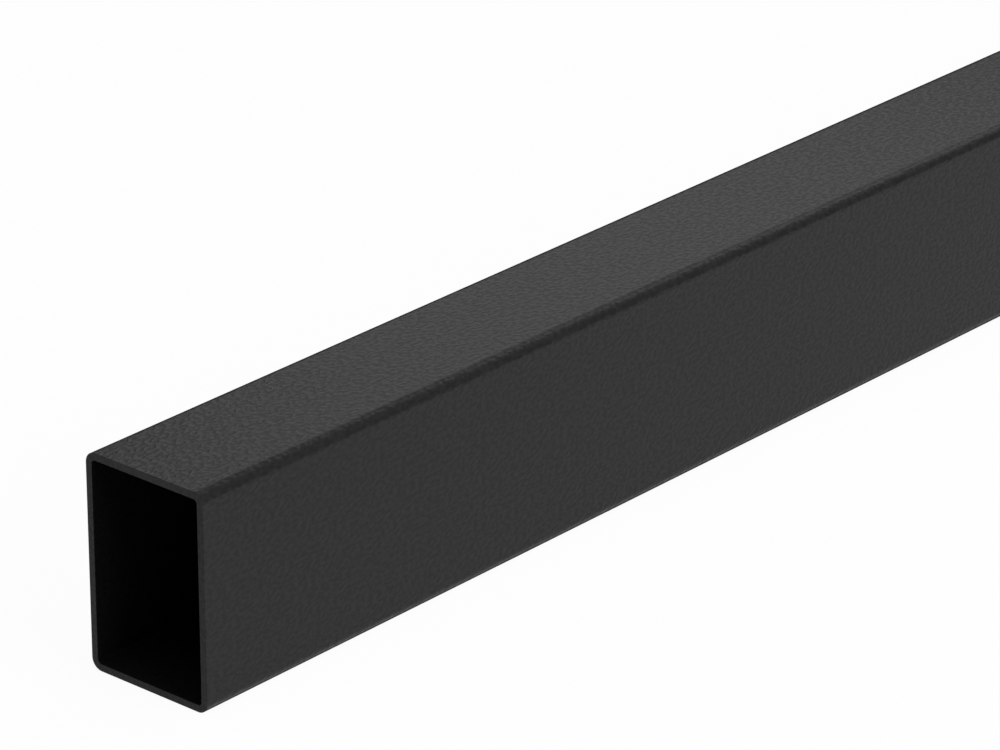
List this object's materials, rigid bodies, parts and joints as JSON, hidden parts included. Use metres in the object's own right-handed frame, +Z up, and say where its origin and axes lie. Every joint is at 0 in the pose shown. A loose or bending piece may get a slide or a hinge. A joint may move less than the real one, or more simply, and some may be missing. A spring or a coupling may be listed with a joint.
{
  "type": "metal fence post",
  "caption": "Straight rectangular steel tube fence post, black powder coated, cut square and open at both ends, lying on a narrow side.",
  "frame": {"origin": "middle of the underside, at half the length, on the level that the post lies on", "axes": "+X along the post, away from the cut end that the picture shows, +Z up, so the 60 mm of the section stands upright and the 40 mm narrow side lies on the floor; the wide side that the picture shows faces -Y"},
  "size_m": [1.8, 0.04, 0.06],
  "materials": {
    "black_powder_coat": "black fine-textured powder coat on steel, satin to matt, slightly pebbled"
  },
  "bodies": {
    "root": {"post_tube": "black_powder_coat"}
  },
  "joints": []
}
